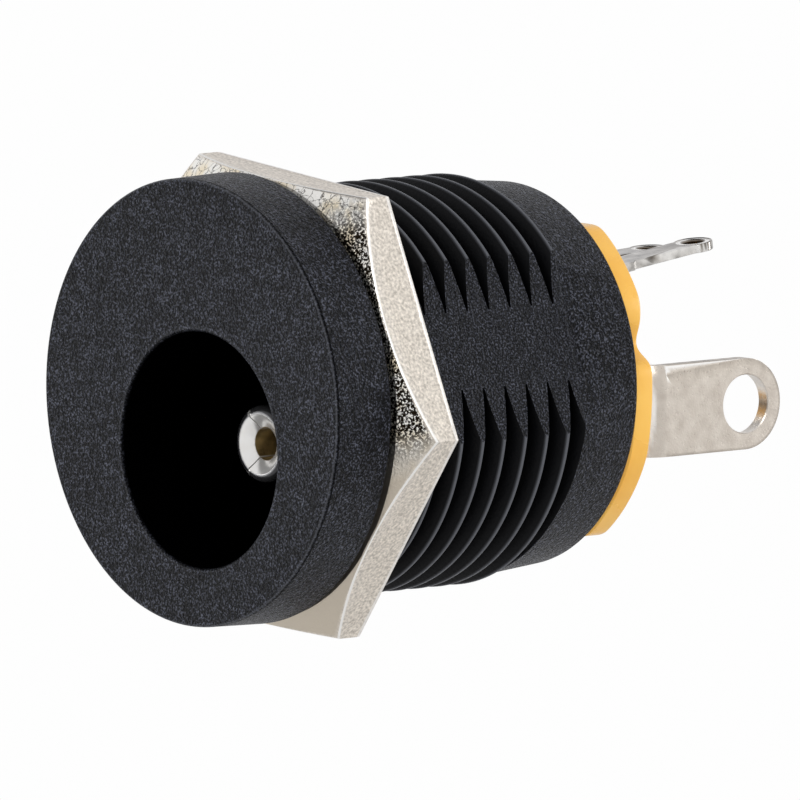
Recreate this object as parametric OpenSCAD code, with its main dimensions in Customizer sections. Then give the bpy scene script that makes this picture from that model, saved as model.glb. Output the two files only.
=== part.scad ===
// Panel-mount DC barrel jack: a threaded, flatted housing with its hex nut, rear insulator,
// slotted centre pin, centre terminal, sleeve spring and switch contact.
// +Y runs along the thread axis from the socket to the solder tags, +Z points away from the
// side to which the socket is offset, and the origin is on the thread axis where the flange
// seats on the panel.

/* [Flange] */
// Diameter of the flange at its front edge
flange_d = 12.15; // [12:0.05:14]
// Extra diameter of the flange at the edge that meets the panel
flange_taper = 0.1; // [0:0.05:0.6]
// Thickness of the flange
flange_t = 1.9; // [1.2:0.1:3]
// Radius of the flange's rounded front edge
flange_round = 0.15; // [0.1:0.05:0.6]

/* [Barrel] */
// Diameter over the thread crests
thread_d = 11.2; // [10.9:0.1:11.6]
// Depth of the thread
thread_depth = 0.49; // [0.3:0.01:0.52]
// Pitch of the thread
thread_pitch = 0.765; // [0.7:0.005:1]
// Length of the threaded stretch behind the flange
thread_len = 8.05; // [7:0.05:12]
// Diameter of the plain ring behind the thread
ring_d = 10.5; // [10.4:0.1:11]
// Length of the plain ring
ring_len = 1.55; // [1:0.05:3]
// Distance across the two flats of the barrel
flat_af = 10; // [9.8:0.1:10.8]

/* [Socket] */
// Diameter of the socket
bore_d = 6.4; // [6:0.1:6.6]
// Distance from the thread axis down to the socket axis
bore_drop = 1.3; // [0.9:0.1:1.4]
// Chamfer of the socket's mouth
bore_chamfer = 0.12; // [0.05:0.01:0.3]
// Diameter of the plug barrel that the socket takes
plug_d = 5.5; // [5:0.1:5.5]

/* [Nut] */
// Distance across the flats of the nut
nut_af = 12.1; // [12:0.1:14]
// Thickness of the nut
nut_t = 1.45; // [1.2:0.05:2.5]
// Gap between the flange and the nut
nut_gap = 0.25; // [0.1:0.05:4]
// Angle through which the nut is turned on the thread
nut_turn = 22; // [0:1:60]
// Angle of the nut's corner chamfer to its face
nut_chamfer = 30; // [15:1:40]
// Radial clearance between the nut and the thread crests
nut_clearance = 0.1; // [0.05:0.05:0.2]
// Depth of the countersink at both ends of the nut's bore
nut_countersink = 0.1; // [0.05:0.05:0.15]

/* [Insulator] */
// Diameter of the insulator's rear disc
disc_d = 10.5; // [10.2:0.1:10.6]
// Thickness of the rear disc
disc_t = 0.7; // [0.5:0.1:1.2]
// Distance from the thread axis to the disc's side flats
disc_flat = 5.05; // [4.9:0.05:5.1]
// Distance between the disc's top and bottom flats
disc_h = 8.5; // [8:0.1:9]
// Depth of the step above each side flat
disc_step = 0.5; // [0.3:0.1:0.8]
// Height of the rounded shoulder at the foot of the step
disc_shoulder_z = 0.9; // [0.5:0.1:1.5]
// Radius of the shoulder
disc_shoulder_r = 0.5; // [0.3:0.05:0.6]
// Radius of the notch above the shoulder
disc_notch_r = 0.45; // [0.3:0.05:0.6]
// Diameter of the insulator's plug inside the housing
plug_body_d = 8.6; // [8.4:0.1:8.8]
// Length of the insulator's plug
plug_body_len = 2.6; // [2:0.1:3.2]
// Radial clearance of the plug in the housing
plug_clearance = 0.05; // [0.02:0.01:0.08]
// Angle through which the insulator and its terminals are turned from the barrel's flats
terminal_turn = 16.5; // [0:0.5:20]

/* [Centre pin] */
// Diameter of the centre pin
pin_d = 2.1; // [1.9:0.1:2.5]
// Distance from the flange's front face back to the pin's tip
pin_setback = 2.15; // [1.5:0.05:3.5]
// Radius of the rounded edges of the nose
pin_edge_r = 0.18; // [0.1:0.01:0.25]
// Diameter of the hole in the nose
pin_hole_d = 0.9; // [0.7:0.1:0.9]
// Depth of the hole and of the slits in the nose
pin_hole_depth = 3; // [2:0.1:3.4]
// Number of slits in the nose
pin_slits = 3; // [2:1:4]
// Width of a slit
pin_slit_w = 0.1; // [0.06:0.02:0.2]
// Direction of the first slit
pin_slit_turn = -16; // [-60:1:60]
// Diameter of the collar that seats on the insulator
pin_collar_d = 3.4; // [3:0.1:3.8]
// Thickness of the collar
pin_collar_t = 0.6; // [0.4:0.1:1]
// Diameter of the shank in the insulator
pin_shank_d = 1.6; // [1.4:0.1:1.8]
// Diameter of the peened head
rivet_d = 2.4; // [2.2:0.1:2.5]
// Height of the peened head
rivet_h = 0.5; // [0.3:0.1:0.7]
// Radial clearance between the shank and the holes that it passes
shank_clearance = 0.02; // [0.01:0.01:0.05]

/* [Centre terminal] */
// Width of the centre terminal
lug_w = 2.5; // [2.2:0.1:2.8]
// Thickness of the centre terminal
lug_t = 0.4; // [0.3:0.05:0.5]
// Distance from the pin axis to the outer face of the solder lug
lug_reach = 4.45; // [4:0.05:4.6]
// Inner radius of the terminal's bend
lug_bend_r = 0.3; // [0.2:0.05:0.5]
// Height of the lug's centre line above the pin axis
lug_rise = 0.5; // [0:0.1:0.6]
// Distance from the insulator to the centre of the lug's hole
lug_hole_y = 3.6; // [2.8:0.1:5]
// Diameter of the lug's hole
lug_hole_d = 1.6; // [1:0.1:1.7]

/* [Spring contacts] */
// Thickness of the contact strip
strip_t = 0.25; // [0.15:0.01:0.3]
// Distance between the two solder tags
tag_pitch = 1.85; // [1.8:0.05:2.1]
// Height of the tags above the pin axis
tag_z = 3.88; // [3.8:0.02:4.1]
// Distance from the insulator to the eye of a tag
tag_eye_y = 4.8; // [3.5:0.1:6]
// Outer diameter of a tag's eye
tag_eye_d = 1.1; // [1:0.05:1.4]
// Diameter of the hole in the eye
tag_hole_d = 0.6; // [0.5:0.05:0.7]
// Width of a tag's neck
tag_neck_w = 0.9; // [0.6:0.05:0.95]
// Distance from the insulator to the shoulder where a tag narrows
tag_shoulder_y = 2.2; // [1:0.1:2.8]
// Upward bend of the sleeve spring's tag
sleeve_tag_rise = 7.5; // [0:0.5:10]
// Upward bend of the switch contact's tag
switch_tag_rise = 3.5; // [0:0.5:10]
// Clearance round a strip in the insulator
slot_clearance = 0.05; // [0.03:0.01:0.08]
// Width of the spring leaf
leaf_w = 1.8; // [1.6:0.1:1.9]
// Interference between the relaxed leaf and a plug
leaf_preload = 0.2; // [0.1:0.05:0.3]
// Distance from the panel face to the leaf's contact point
leaf_contact_y = 2.4; // [2.2:0.1:3]
// Gap between the leaf and the switch finger
switch_gap = 0.04; // [0.02:0.01:0.06]

/* [Hidden] */
$fn = 96;
eps = 0.01;
overcut = 1;

front_y = -flange_t;
barrel_end = thread_len + ring_len;
rear_y = barrel_end + disc_t;
plug_front = barrel_end - plug_body_len;

thread_r = thread_d / 2;
root_r = thread_r - thread_depth;
ring_chamfer = 0.1;
crest_w = thread_pitch * 0.16;
flank_w = thread_pitch * 0.4;
thread_lead = 0.2;
thread_turns = floor((thread_len - thread_lead) / thread_pitch);
thread_start = thread_len - thread_turns * thread_pitch;

bore_r = bore_d / 2;
plug_r = plug_d / 2;
recess_r = plug_body_d / 2 + plug_clearance;

nut_corner_r = nut_af / 2 / cos(30);
nut_bore_r = thread_r + nut_clearance;
nut_face_share = 0.975;
nut_face_r = nut_af / 2 * nut_face_share;

pin_r = pin_d / 2;
pin_hole_r = pin_hole_d / 2;
pin_y = front_y + pin_setback;
rivet_slope = 0.35;
lug_bend_x = lug_reach - lug_t - lug_bend_r;
lug_bend_y = rear_y + lug_t + lug_bend_r;
lug_eye_y = rear_y + lug_hole_y;

tag_x = tag_pitch / 2;
tag_bend_y = 0.3;
bend_steps = 12;
leaf_x1 = tag_x + tag_eye_d / 2;
leaf_x0 = leaf_x1 - leaf_w;
leaf_shoulder_y = plug_front - plug_clearance;
leaf_root_len = 0.4;
leaf_root_y = plug_front - leaf_root_len;
leaf_low_z = plug_r - leaf_preload + strip_t / 2;
leaf_slope = (tag_z - leaf_low_z) / (leaf_root_y - leaf_contact_y);
leaf_tip_len = 1.4;
leaf_tip_rise = 0.6;
leaf_tip_y = leaf_contact_y - leaf_tip_len;
leaf_tip_z = leaf_low_z + leaf_tip_rise;

finger_len = 0.9;
finger_back = 1.5;
finger_y = leaf_contact_y + finger_back;
finger_z = leaf_low_z + (finger_y - leaf_contact_y) * leaf_slope
           - strip_t * 1.06 - switch_gap;
finger_x1 = 0.1;
switch_w = 0.9;
switch_x0 = -tag_x - tag_eye_d / 2 + slot_clearance;
switch_root_len = 0.1;
switch_root_y = plug_front - switch_root_len;

channel_side = 0.3;
channel_x0 = switch_x0 - channel_side;
channel_x1 = leaf_x1 + channel_side;
channel_roof = 0.15;
channel_top = tag_z + strip_t / 2 + channel_roof;
channel_end = 0.5;
channel_front = leaf_tip_y - channel_end;

// ---- Placing helpers ----

// Turns a child that stands on +Z so that it runs along +Y.
module along_y(y = 0) {
    translate([0, y, 0]) rotate([-90, 0, 0]) children();
}

// Extrudes an outline drawn in X and Z from y0 over the length len.
module face_extrude(y0, len) {
    translate([0, y0 + len, 0]) rotate([90, 0, 0]) linear_extrude(len) children();
}

// Extrudes an outline drawn in Y and Z from x0 over the width w.
module side_extrude(x0, w) {
    translate([x0, 0, 0]) rotate([90, 0, 90]) linear_extrude(w) children();
}

// The frame of the terminals: on the socket axis, turned with the insulator.
module terminal_frame() {
    translate([0, 0, -bore_drop]) rotate([0, terminal_turn, 0]) children();
}

// ---- Outline helpers ----

// Points of an arc about c from angle a0 to a1.
function arc_points(c, r, a0, a1, n = 6) =
    [for (i = [0 : n]) c + r * [cos(a0 + (a1 - a0) * i / n), sin(a0 + (a1 - a0) * i / n)]];

function unit(v) = v / norm(v);

function left_of(v) = [-v[1], v[0]];

// Offset of point i of a path by d to its left, mitred at a corner.
function mitred(path, i, d) =
    let (last = len(path) - 1,
         into = left_of(unit(path[max(i, 1)] - path[max(i, 1) - 1])),
         out = left_of(unit(path[min(i, last - 1) + 1] - path[min(i, last - 1)])))
    path[i] + d * (into + out) / (1 + into * out);

// A strip of even thickness along a path.
module strip_section(path, t) {
    polygon(concat(
        [for (i = [0 : len(path) - 1]) mitred(path, i, t / 2)],
        [for (i = [len(path) - 1 : -1 : 0]) mitred(path, i, -t / 2)]));
}

// ---- Housing ----

// Half section of the flange, with a rounded front edge and a tapered rim.
function flange_section() = concat(
    [[0, front_y]],
    arc_points([flange_d / 2 - flange_round, front_y + flange_round], flange_round, -90, 0),
    [[(flange_d + flange_taper) / 2, 0]]);

// Half section of the thread: one trapezoid ridge for each turn.
function thread_section() = [
    for (i = [0 : thread_turns - 1], p = [
            [root_r, 0],
            [thread_r, flank_w],
            [thread_r, flank_w + crest_w],
            [root_r, 2 * flank_w + crest_w]])
        [p[0], thread_start + i * thread_pitch + p[1]]];

// Half section of the whole turned form.
function housing_section() = concat(
    flange_section(),
    [[root_r, 0]],
    thread_section(),
    [[root_r, thread_len], [ring_d / 2, thread_len],
     [ring_d / 2, barrel_end - ring_chamfer], [ring_d / 2 - ring_chamfer, barrel_end],
     [0, barrel_end]]);

module barrel_flats() {
    for (side = [0, 180])
        rotate([0, side, 0])
            translate([flat_af / 2, 0, -thread_r])
                cube([thread_r, barrel_end + overcut, 2 * thread_r]);
}

module socket() {
    translate([0, 0, -bore_drop]) {
        along_y(front_y - eps)
            cylinder(r = bore_r, h = plug_front - front_y + 2 * eps);
        along_y(front_y - eps)
            cylinder(r1 = bore_r + bore_chamfer + eps, r2 = bore_r, h = bore_chamfer + eps);
    }
}

module contact_channel() {
    terminal_frame()
        translate([channel_x0, channel_front, 0])
            cube([channel_x1 - channel_x0, plug_front - channel_front + eps, channel_top]);
}

module housing() {
    color("#2b2d31") difference() {
        along_y() rotate_extrude() polygon(housing_section());
        barrel_flats();
        socket();
        contact_channel();
        along_y(plug_front) cylinder(r = recess_r, h = plug_body_len + overcut);
    }
}

// ---- Hex nut ----

module hex_nut() {
    cone_r = nut_face_r + nut_t / tan(nut_chamfer);
    color("#cfcabf") along_y(nut_gap) difference() {
        intersection() {
            rotate([0, 0, nut_turn]) cylinder(r = nut_corner_r, h = nut_t, $fn = 6);
            cylinder(r1 = nut_face_r, r2 = cone_r, h = nut_t);
        }
        translate([0, 0, -overcut]) cylinder(r = nut_bore_r, h = nut_t + 2 * overcut);
        for (end = [0, 1])
            translate([0, 0, end * nut_t]) mirror([0, 0, end])
                translate([0, 0, -eps])
                    cylinder(r1 = nut_bore_r + nut_countersink + eps, r2 = nut_bore_r,
                             h = nut_countersink + eps);
    }
}

// ---- Rear insulator ----

// Outline of the disc: four flats, and on both sides a step above a rounded shoulder and a notch.
module disc_outline() {
    low_z = disc_shoulder_z - disc_shoulder_r;
    difference() {
        intersection() {
            circle(d = disc_d);
            square([2 * disc_flat, disc_h], center = true);
            union() {
                square([2 * (disc_flat - disc_step), disc_h], center = true);
                translate([-disc_flat, -disc_h / 2]) square([2 * disc_flat, disc_h / 2 + low_z]);
                for (side = [1, -1])
                    translate([side * (disc_flat - disc_shoulder_r), low_z])
                        circle(r = disc_shoulder_r);
            }
        }
        for (side = [1, -1])
            translate([side * (disc_flat - disc_step / 2), disc_shoulder_z + 0.7 * disc_notch_r])
                circle(r = disc_notch_r);
    }
}

module tag_slot(x) {
    w = tag_eye_d + 2 * slot_clearance;
    h = strip_t + 2 * slot_clearance;
    translate([x - w / 2, plug_front - overcut, tag_z - h / 2])
        cube([w, rear_y - plug_front + 2 * overcut, h]);
}

module rear_insulator() {
    color("#f2ab3c") difference() {
        union() {
            rotate([0, terminal_turn, 0]) face_extrude(barrel_end, disc_t) disc_outline();
            along_y(plug_front) cylinder(d = plug_body_d, h = plug_body_len + eps);
        }
        terminal_frame() {
            along_y(plug_front - overcut)
                cylinder(r = pin_shank_d / 2 + shank_clearance,
                         h = rear_y - plug_front + 2 * overcut);
            tag_slot(tag_x);
            tag_slot(-tag_x);
        }
    }
}

// ---- Centre pin ----

// Half section of the pin: rounded hollow nose, shaft, collar, shank and peened head.
function pin_section() =
    let (collar_y = plug_front - pin_collar_t,
         shank_r = pin_shank_d / 2,
         foot_y = rear_y + lug_t)
    concat(
        [[0, pin_y + pin_hole_depth], [pin_hole_r, pin_y + pin_hole_depth]],
        arc_points([pin_hole_r + pin_edge_r, pin_y + pin_edge_r], pin_edge_r, -180, -90),
        arc_points([pin_r - pin_edge_r, pin_y + pin_edge_r], pin_edge_r, -90, 0),
        [[pin_r, collar_y], [pin_collar_d / 2, collar_y], [pin_collar_d / 2, plug_front],
         [shank_r, plug_front], [shank_r, foot_y], [rivet_d / 2, foot_y],
         [rivet_d / 2, foot_y + rivet_h / 2], [rivet_d / 2 - rivet_slope, foot_y + rivet_h],
         [0, foot_y + rivet_h]]);

module centre_pin() {
    color("#d8d4ca") translate([0, 0, -bore_drop]) difference() {
        along_y() rotate_extrude() polygon(pin_section());
        for (i = [0 : pin_slits - 1])
            rotate([0, -pin_slit_turn - i * 360 / pin_slits, 0])
                translate([0, pin_y - overcut, -pin_slit_w / 2])
                    cube([pin_r + overcut, pin_hole_depth + overcut, pin_slit_w]);
    }
}

// ---- Centre terminal ----

// Section of the bent lug in X and Y: the foot, the bend and the lug up to its hole.
function lug_section() = concat(
    [[0, rear_y + lug_t], [0, rear_y]],
    arc_points([lug_bend_x, lug_bend_y], lug_bend_r + lug_t, -90, 0, bend_steps),
    [[lug_reach, lug_eye_y], [lug_reach - lug_t, lug_eye_y]],
    arc_points([lug_bend_x, lug_bend_y], lug_bend_r, 0, -90, bend_steps));

// A round plate or hole of the lug, about its hole and square to its face.
module lug_round(d, x, h) {
    translate([x, lug_eye_y, lug_rise]) rotate([0, 90, 0]) cylinder(d = d, h = h);
}

// The foot is round about the pin, then as wide as the lug up to the bend.
module centre_terminal() {
    color("#c9c3b8") terminal_frame() difference() {
        union() {
            translate([0, 0, lug_rise - lug_w / 2]) linear_extrude(lug_w) polygon(lug_section());
            along_y(rear_y) cylinder(d = lug_w, h = lug_t);
            lug_round(lug_w, lug_reach - lug_t, lug_t);
        }
        along_y(rear_y - overcut)
            cylinder(r = pin_shank_d / 2 + shank_clearance, h = lug_t + 2 * overcut);
        lug_round(lug_hole_d, lug_reach - lug_t - overcut, lug_t + 2 * overcut);
    }
}

// ---- Spring contacts ----

// Path of a tag from its end to the insulator, drawn in Y and Z.
function tag_path(rise) =
    let (bend_y = rear_y + tag_bend_y,
         end_y = rear_y + tag_eye_y + tag_eye_d)
    [[end_y, tag_z + (end_y - bend_y) * tan(rise)], [bend_y, tag_z]];

// Plan of a tag: the eye, its neck and the stretch inside the insulator.
module tag_plan(x) {
    translate([x, rear_y + tag_eye_y]) circle(d = tag_eye_d);
    translate([x - tag_neck_w / 2, rear_y])
        square([tag_neck_w, tag_eye_y]);
    translate([x - tag_eye_d / 2, leaf_shoulder_y])
        square([tag_eye_d, rear_y + tag_shoulder_y - leaf_shoulder_y]);
}

// Hole of a tag's eye, square to the bent tag.
module tag_hole(x, rise) {
    translate([x, rear_y + tag_eye_y, tag_z + (tag_eye_y - tag_bend_y) * tan(rise)])
        rotate([rise, 0, 0])
            cylinder(d = tag_hole_d, h = 2 * overcut, center = true);
}

// A strip bent along a path, cut to the plan given as its child.
module bent_strip(path) {
    intersection() {
        side_extrude(-thread_r, thread_d) strip_section(path, strip_t);
        linear_extrude(3 * thread_r) children();
    }
}

module sleeve_spring() {
    path = concat(
        tag_path(sleeve_tag_rise),
        [[leaf_root_y, tag_z],
         [leaf_contact_y + 0.5, leaf_low_z + 0.5 * leaf_slope],
         [leaf_contact_y + 0.15, leaf_low_z],
         [leaf_contact_y - 0.15, leaf_low_z],
         [leaf_contact_y - 0.5, leaf_low_z + 0.15],
         [leaf_tip_y, leaf_tip_z]]);
    color("#c4c0b6") terminal_frame() difference() {
        bent_strip(path) {
            tag_plan(tag_x);
            translate([leaf_x0, leaf_tip_y - overcut])
                square([leaf_w, leaf_shoulder_y - leaf_tip_y + overcut]);
        }
        tag_hole(tag_x, sleeve_tag_rise);
    }
}

module switch_contact() {
    path = concat(
        tag_path(switch_tag_rise),
        [[switch_root_y, tag_z],
         [finger_y + finger_len, finger_z],
         [finger_y, finger_z]]);
    color("#bdb8ae") terminal_frame() difference() {
        bent_strip(path) {
            tag_plan(-tag_x);
            translate([switch_x0, finger_y]) square([switch_w, leaf_shoulder_y - finger_y + eps]);
            translate([switch_x0, finger_y]) square([finger_x1 - switch_x0, finger_len]);
        }
        tag_hole(-tag_x, switch_tag_rise);
    }
}

housing();
hex_nut();
rear_insulator();
centre_pin();
centre_terminal();
sleeve_spring();
switch_contact();
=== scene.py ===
# %% [markdown]
# # A panel-mount DC barrel jack
# This lesson dresses a small power socket: a black moulded housing with a helical thread and two
# flats, a nickel-plated hex nut, an amber insulator at the rear, a hollow centre pin, a wide
# solder lug and two thin spring tags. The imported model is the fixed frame. Each new piece is a
# surface worked out with numpy in millimetres, in the frame's own axes: +Y runs along the thread
# from the socket to the tags, +Z points away from the side to which the socket is offset.

# %% Load the fixed frame
import math

import bpy
import bmesh
import numpy as np
from mathutils import Matrix, Vector
from mathutils.geometry import tessellate_polygon


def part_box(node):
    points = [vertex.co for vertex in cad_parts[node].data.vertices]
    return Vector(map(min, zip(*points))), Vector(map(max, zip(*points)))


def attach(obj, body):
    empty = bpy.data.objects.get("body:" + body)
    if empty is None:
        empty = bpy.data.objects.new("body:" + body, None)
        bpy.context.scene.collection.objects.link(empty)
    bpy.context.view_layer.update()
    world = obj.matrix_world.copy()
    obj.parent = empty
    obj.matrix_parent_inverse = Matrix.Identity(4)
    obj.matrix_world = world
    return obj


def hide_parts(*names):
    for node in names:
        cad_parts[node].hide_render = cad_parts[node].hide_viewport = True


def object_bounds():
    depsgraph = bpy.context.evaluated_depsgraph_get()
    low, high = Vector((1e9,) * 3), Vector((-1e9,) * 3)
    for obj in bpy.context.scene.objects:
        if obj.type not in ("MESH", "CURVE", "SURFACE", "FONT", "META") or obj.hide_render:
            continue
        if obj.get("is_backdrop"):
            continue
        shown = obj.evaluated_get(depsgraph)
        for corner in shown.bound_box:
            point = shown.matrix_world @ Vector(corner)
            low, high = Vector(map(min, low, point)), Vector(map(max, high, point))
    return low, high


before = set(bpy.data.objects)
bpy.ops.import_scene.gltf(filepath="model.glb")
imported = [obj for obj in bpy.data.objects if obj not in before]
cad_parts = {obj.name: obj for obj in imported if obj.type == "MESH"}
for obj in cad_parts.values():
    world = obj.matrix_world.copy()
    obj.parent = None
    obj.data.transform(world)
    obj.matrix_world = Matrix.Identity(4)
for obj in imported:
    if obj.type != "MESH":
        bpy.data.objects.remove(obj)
cad_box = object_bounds()

# %% [markdown]
# Lengths are in millimetres and become metres only when a mesh is made. The planes that the
# pieces share are read from the frame, so that a piece always meets the part it stands for.

# %% Shared planes and sizes
MM = 0.001


def span(node, axis):
    """Lowest and highest coordinate of a node along axis 0, 1 or 2, in millimetres."""
    low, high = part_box(node)
    return low[axis] / MM, high[axis] / MM


FRONT, BARREL_END = span("housing", 1)
FLANGE_R = span("housing", 2)[1]
REAR = span("rear_insulator", 1)[1]
NUT_Y0, NUT_Y1 = span("hex_nut", 1)
PIN_TIP = span("centre_pin", 1)[0]
PLUG_FRONT = span("rear_insulator", 1)[0]

FLAT_X = 5.0  # distance from the thread axis to each flat of the barrel
THREAD_R = 5.6  # thread crests
THREAD_DEPTH = 0.49  # from the crests to the roots
PITCH = 0.765  # the thread advances this far in a turn
RING_R = 5.25  # plain ring behind the thread, at its rear
RING_FRONT_R = 5.43  # and at its front: the mould's draft
FLAT_END = 7.68  # from here the flats run out into the ring
SOCKET_R = 3.2  # the hole that takes the plug
SOCKET_DROP = 1.3  # the socket axis lies this far below the thread axis
TURN = math.radians(16.5)  # the insulator and its terminals are turned on the socket axis
print(f"housing from y {FRONT:.2f} to {BARREL_END:.2f} mm, insulator to {REAR:.2f} mm")

# %% [markdown]
# ## From arrays to meshes
# Every piece is put together from sheets: points in rows and columns become quads, and a flat
# outline, with or without holes, becomes a lid. One helper joins them, merges the shared borders,
# turns the faces outwards and marks the sharp edges.

# %% Sheets, lids and the mesh maker
MERGE = 2e-7  # metres: points of the sheets nearer than this become one
SLIVER = 1e-7  # metres: edges shorter than this are dissolved


def sheet(points, wrap=False):
    """Quads between the neighbours of an (R, C, 3) array; wrap joins the last column to the first."""
    rows, cols = points.shape[:2]
    index = np.arange(rows * cols).reshape(rows, cols)
    if wrap:
        index = np.concatenate([index, index[:, :1]], axis=1)
    quads = np.stack([index[:-1, :-1], index[:-1, 1:], index[1:, 1:], index[1:, :-1]], axis=-1)
    return points.reshape(-1, 3), quads.reshape(-1, 4).tolist()


def lid(outline, holes=()):
    """Triangles that fill a flat closed outline and leave its holes open."""
    loops = [outline, *holes]
    points = np.concatenate(loops)
    return points, [list(t) for t in tessellate_polygon([[Vector(p) for p in loop] for loop in loops])]


def put(name, data):
    """A new object in the scene."""
    made = bpy.data.objects.new(name, data)
    bpy.context.scene.collection.objects.link(made)
    return made


def piece(name, parts, material, sharp=32, marks=None, smooth=None):
    """Join the sheets of a piece into one mesh in metres.

    marks gives, for each sheet, a value that the finish reads as the attribute "mark";
    smooth, one value for each point, tells where a grain fades out."""
    verts, faces, values, start = [], [], [], 0
    for n, (points, polygons) in enumerate(parts):
        verts.append(points)
        faces.extend([[start + i for i in polygon] for polygon in polygons])
        mark = 0.0 if marks is None else marks[n]
        values.append(np.broadcast_to(np.asarray(mark, dtype=float).reshape(-1), (len(points),)))
        start += len(points)
    mesh = bpy.data.meshes.new(name)
    mesh.from_pydata((np.concatenate(verts) * MM).tolist(), [], faces)
    for title, given in (("mark", np.concatenate(values)), ("smooth", smooth)):
        if given is not None:
            layer = mesh.attributes.new(title, "FLOAT", "POINT")
            layer.data.foreach_set("value", np.asarray(given, dtype=np.float32))
    bm = bmesh.new()
    bm.from_mesh(mesh)
    bmesh.ops.remove_doubles(bm, verts=bm.verts, dist=MERGE)
    bmesh.ops.dissolve_degenerate(bm, edges=bm.edges, dist=SLIVER)
    bmesh.ops.recalc_face_normals(bm, faces=bm.faces)
    open_edges = sum(len(e.link_faces) != 2 for e in bm.edges)
    bm.to_mesh(mesh)
    bm.free()
    mesh.shade_smooth()
    mesh.set_sharp_from_angle(angle=math.radians(sharp))
    mesh.materials.append(material)
    print(f"{name}: {len(mesh.polygons)} faces, {open_edges} open edges")
    return put(name, mesh)


def xyz(*coordinates):
    """Points from their coordinates; numbers and arrays are spread over each other."""
    return np.stack(np.broadcast_arrays(*coordinates), axis=-1)


def ring(radius, angle, y, centre_z=0.0):
    """Points at radius and angle round the Y axis: x is radius * cos, z is radius * sin."""
    return xyz(radius * np.cos(angle), y, centre_z + radius * np.sin(angle))


def turned(points):
    """Carry points from the terminals' frame, turned on the socket axis, to the part's frame."""
    x, y, z = np.moveaxis(points, -1, 0)
    return xyz(x * np.cos(TURN) + z * np.sin(TURN), y, -SOCKET_DROP - x * np.sin(TURN) + z * np.cos(TURN))


# %% [markdown]
# ## Shared effects
# Plastic, resin and nickel plate all carry a fine grain, so the grain is one node group with a
# size and a contrast of its own in each material. A few helpers keep the node trees short.

# %% Node helpers


def feed(tree, made, values):
    """Set a node's inputs to numbers and colours, or link them to other nodes' outputs."""
    for key, value in values.items():
        if hasattr(value, "is_output"):
            tree.links.new(value, made.inputs[key])
        else:
            made.inputs[key].default_value = value


def node(tree, kind, values=None, **props):
    """Add a shader node of a kind; props are its own settings, values its inputs."""
    made = tree.nodes.new("ShaderNode" + kind)
    for key, value in props.items():
        setattr(made, key, value)
    feed(tree, made, values or {})
    return made


def calc(tree, operation, *values, clamp=False):
    """One step of arithmetic on numbers or outputs."""
    made = node(tree, "Math", dict(enumerate(values)), operation=operation, use_clamp=clamp)
    return made.outputs["Value"]


def remap(tree, value, low, high, start=0.0, stop=1.0):
    """Map start..stop to low..high in a straight line, held at both ends."""
    made = node(tree, "MapRange", {
        "Value": value, "From Min": start, "From Max": stop, "To Min": low, "To Max": high})
    return made.outputs["Result"]


def mix_value(tree, factor, low, high):
    """Mix two numbers by a mask: low * (1 - factor) + high * factor."""
    made = node(tree, "Mix", {"Factor": factor, "A": low, "B": high}, data_type="FLOAT")
    return made.outputs["Result"]


def mix(tree, factor, first, second, blend="MIX"):
    """Mix two colours, each three numbers or another node's colour, by a mask."""
    made = node(tree, "Mix", {"Factor": factor}, data_type="RGBA", blend_type=blend)
    slots = [n for n, socket in enumerate(made.inputs) if socket.type == "RGBA"]
    colours = [value if hasattr(value, "is_output") else (*value, 1) for value in (first, second)]
    feed(tree, made, dict(zip(slots, colours)))
    return next(socket for socket in made.outputs if socket.type == "RGBA")


def stored(tree, name):
    """A value that the mesh carries on its points."""
    return node(tree, "Attribute", attribute_name=name).outputs["Fac"]


def below_zero(tree, mark, slope=1.0):
    """How far a mark lies below zero, times slope, held between 0 and 1."""
    return calc(tree, "MULTIPLY", mark, -slope, clamp=True)


def add_bump(tree, shader, height, strength, distance):
    """Feed a height to the shader's normal; distance is the relief's depth in metres."""
    bump = node(tree, "Bump", {"Strength": strength, "Distance": distance, "Height": height})
    feed(tree, shader, {"Normal": bump.outputs["Normal"]})


# %% The grain group


def make_grain():
    """One fractal noise over the piece's own coordinates.

    Height is the noise; Mask is (noise - Low) / (High - Low), held between 0 and 1."""
    group = bpy.data.node_groups.new("surface_grain", "ShaderNodeTree")
    for title, value in (("Size", 20000.0), ("Detail", 3.0), ("Low", 0.4), ("High", 0.6)):
        socket = group.interface.new_socket(title, in_out="INPUT", socket_type="NodeSocketFloat")
        socket.default_value = value
    for title in ("Height", "Mask"):
        group.interface.new_socket(title, in_out="OUTPUT", socket_type="NodeSocketFloat")
    given = group.nodes.new("NodeGroupInput").outputs
    place = node(group, "TexCoord").outputs["Object"]
    noise = node(group, "TexNoise", {
        "Vector": place, "Scale": given["Size"], "Detail": given["Detail"]}).outputs["Fac"]
    mask = remap(group, noise, 0.0, 1.0, given["Low"], given["High"])
    feed(group, group.nodes.new("NodeGroupOutput"), {"Height": noise, "Mask": mask})
    return group


GRAIN = make_grain()
print("group", GRAIN.name)


def material(name):
    """A material with its node tree and its Principled BSDF."""
    made = bpy.data.materials.new(name)
    made.use_nodes = True
    tree = made.node_tree
    return made, tree, tree.nodes["Principled BSDF"]


def grain(tree, size, detail=3.0, low=0.4, high=0.6):
    """Place the grain group with its own size and contrast; return its height and its mask."""
    values = {"Size": size, "Detail": detail, "Low": low, "High": high}
    made = node(tree, "Group", values, node_tree=GRAIN)
    return made.outputs["Height"], made.outputs["Mask"]


# %% [markdown]
# ## Housing plastic
# The housing is moulded in a charcoal nylon with a fine grain, whose pale specks are painted glints,
# over a leathery relief. The mesh tells the finish where light and shade are painted: "mark" above
# zero paints highlights on edges and crests, below zero it paints shade in the socket, the recess
# and the thread's roots, and "smooth" is 1 on the thread, which has no grain.

# %% Charcoal moulded plastic


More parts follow.
